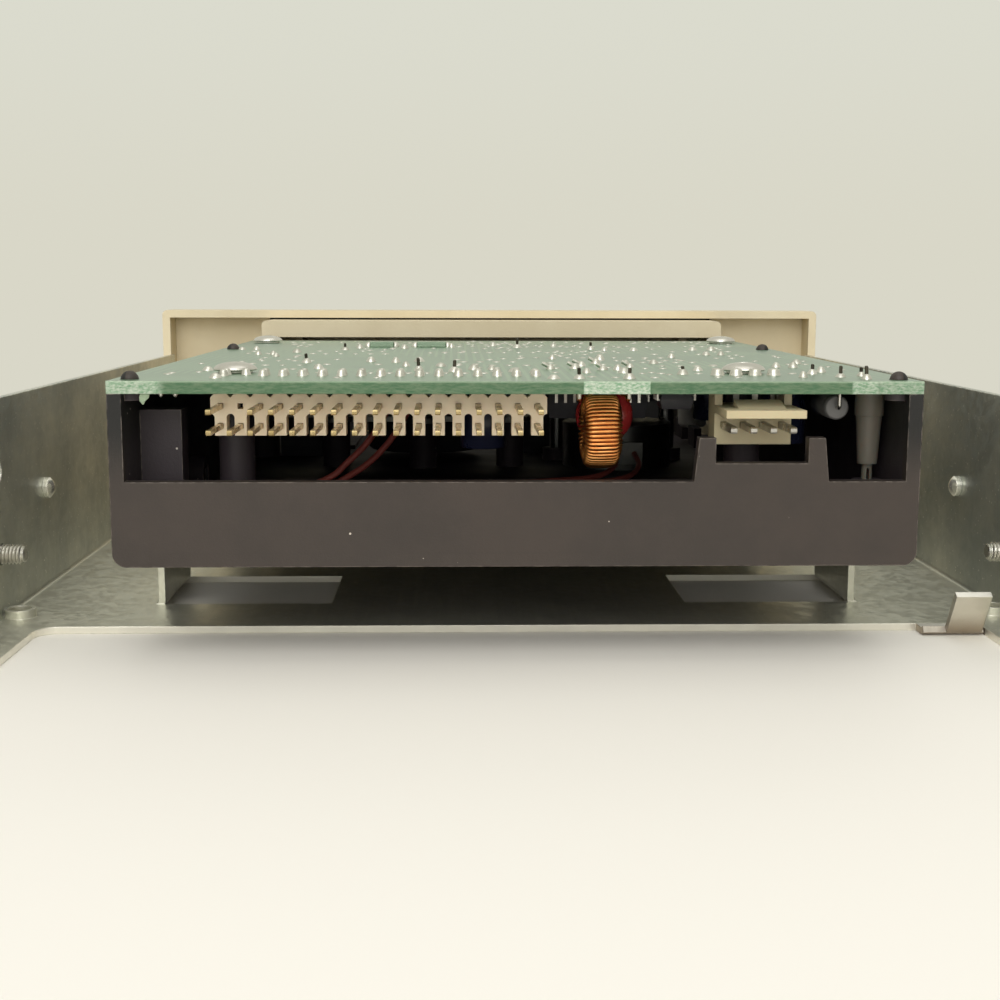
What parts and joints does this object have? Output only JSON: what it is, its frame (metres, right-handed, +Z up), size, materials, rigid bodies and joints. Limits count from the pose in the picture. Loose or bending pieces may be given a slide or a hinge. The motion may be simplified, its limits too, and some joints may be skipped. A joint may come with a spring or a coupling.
{
  "type": "tape backup drive",
  "caption": "Tape backup drive with a black tray chassis, exposed circuit board, pin header and hinged cartridge door, held in a folded steel frame for a half-height drive bay.",
  "frame": {"origin": "on the table under the middle of the whole object's outline", "axes": "+X to the right seen from behind, +Y from the rear connectors towards the front bezel, +Z up"},
  "size_m": [0.149, 0.165, 0.042],
  "materials": {
    "galvanised": "zinc coated sheet with a faint spangle",
    "beige_plastic": "fine moulded texture",
    "black_plastic": "dull moulded surface",
    "circuit_board": "green solder mask over copper",
    "screw_steel": "bright zinc plating",
    "header_nylon": "cream moulding",
    "gold_pins": "thin gold plating",
    "tinned_pins": "tinned",
    "ferrite": "coated iron powder",
    "copper_wire": "enamelled copper",
    "red_epoxy": "dipped coating",
    "chip_black": "moulded package",
    "grey_sleeve": "sleeve",
    "grey_nylon": "translucent nylon",
    "can_sleeve": "shrink sleeve",
    "crystal_steel": "drawn can",
    "led_lens": "diffused lens",
    "spring_steel": "drawn wire",
    "motor_steel": "zinc plated can",
    "bracket_steel": "pressed sheet",
    "shaft_steel": "ground",
    "hub_plastic": "acetal",
    "tyre_rubber": "ground rubber",
    "carriage_plastic": "filled nylon",
    "head_metal": "lapped face",
    "roller_acetal": "acetal",
    "wire_red": "insulation"
  },
  "bodies": {
    "drive": {"mounting_frame": "galvanised", "bay_bezel": "beige_plastic", "bezel_screws": "screw_steel", "bay_side_screws": "screw_steel", "drive_screws": "screw_steel", "chassis": "black_plastic", "main_board": "circuit_board", "board_screws": "screw_steel", "data_header": "header_nylon", "header_pins": "gold_pins", "power_housing": "header_nylon", "power_pins": "tinned_pins", "inductor_core": "ferrite", "inductor_winding": "copper_wire", "dipped_fuse": "red_epoxy", "edge_chip": "chip_black", "axial_capacitor": "grey_sleeve", "board_post": "grey_nylon", "board_chips": "chip_black", "crystal_can": "crystal_steel", "electrolytic_caps": "can_sleeve", "drive_bezel": "beige_plastic", "door_pin": "shaft_steel", "activity_led": "led_lens", "led_leads": "tinned_pins", "motor_bracket": "bracket_steel", "bracket_screws": "screw_steel", "capstan_motor": "motor_steel", "stepper_motor": "motor_steel", "stepper_wires": "wire_red", "guide_rods": "shaft_steel", "guide_bridge": "bracket_steel", "switch_block": "chip_black", "tape_sensor": "chip_black"},
    "door": {"door_flap": "beige_plastic", "door_spring": "spring_steel"},
    "capstan": {"capstan_shaft": "shaft_steel", "capstan_hub": "hub_plastic", "capstan_tyre": "tyre_rubber"},
    "stepper_rotor": {"rotor_magnet": "ferrite", "lead_screw": "shaft_steel"},
    "carriage": {"head_carriage": "carriage_plastic", "tape_head": "head_metal"},
    "latch_left": {"latch_lever_left": "bracket_steel", "latch_spring_left": "spring_steel"},
    "latch_right": {"latch_lever_right": "bracket_steel", "latch_spring_right": "spring_steel"},
    "roller_left": {"latch_roller_left": "roller_acetal"},
    "roller_right": {"latch_roller_right": "roller_acetal"},
    "cartridge_switch": {"cartridge_plunger": "roller_acetal"},
    "protect_switch": {"protect_plunger": "roller_acetal"}
  },
  "joints": [
    {"name": "door_hinge", "type": "hinge", "parent": "drive", "child": "door", "pos_m": [0, 0.0777, 0.0332], "axis": [-1, 0, 0], "range_deg": [0, 90], "stiffness_Nm_per_rad": 0.004, "springref_deg": -17.19},
    {"name": "capstan_spin", "type": "hinge", "parent": "drive", "child": "capstan", "pos_m": [-0.014, 0.024, 0.0195], "axis": [0, 0, 1], "continuous": true},
    {"name": "stepper_spin", "type": "hinge", "parent": "drive", "child": "stepper_rotor", "pos_m": [0.022, 0.0115, 0.025], "axis": [0, 0, 1], "range_deg": [-270, 270]},
    {"name": "head_lift", "type": "slide", "parent": "drive", "child": "carriage", "axis": [0, 0, 1], "range_m": [-0.003, 0.003]},
    {"name": "latch_left_pivot", "type": "hinge", "parent": "drive", "child": "latch_left", "pos_m": [-0.0454, 0.0245, 0.0245], "axis": [0, 0, 1], "range_deg": [0, 3.5], "stiffness_Nm_per_rad": 0.05, "springref_deg": -11.46},
    {"name": "latch_right_pivot", "type": "hinge", "parent": "drive", "child": "latch_right", "pos_m": [0.0454, 0.0245, 0.0245], "axis": [0, 0, -1], "range_deg": [0, 3.5], "stiffness_Nm_per_rad": 0.05, "springref_deg": -11.46},
    {"name": "latch_left_roller", "type": "hinge", "parent": "latch_left", "child": "roller_left", "pos_m": [-0.0425, 0.0495, 0.02], "axis": [0, 0, 1], "continuous": true},
    {"name": "latch_right_roller", "type": "hinge", "parent": "latch_right", "child": "roller_right", "pos_m": [0.0425, 0.0495, 0.02], "axis": [0, 0, 1], "continuous": true},
    {"name": "cartridge_switch_slide", "type": "slide", "parent": "drive", "child": "cartridge_switch", "axis": [0, -1, 0], "range_m": [0, 0.0015], "stiffness_N_per_m": 150, "springref_m": -0.001},
    {"name": "protect_switch_slide", "type": "slide", "parent": "drive", "child": "protect_switch", "axis": [0, -1, 0], "range_m": [0, 0.0015], "stiffness_N_per_m": 150, "springref_m": -0.001}
  ],
  "couplings": [
    {"joint": "stepper_spin", "follows": "head_lift", "rad_per_m": 1570.8}
  ]
}
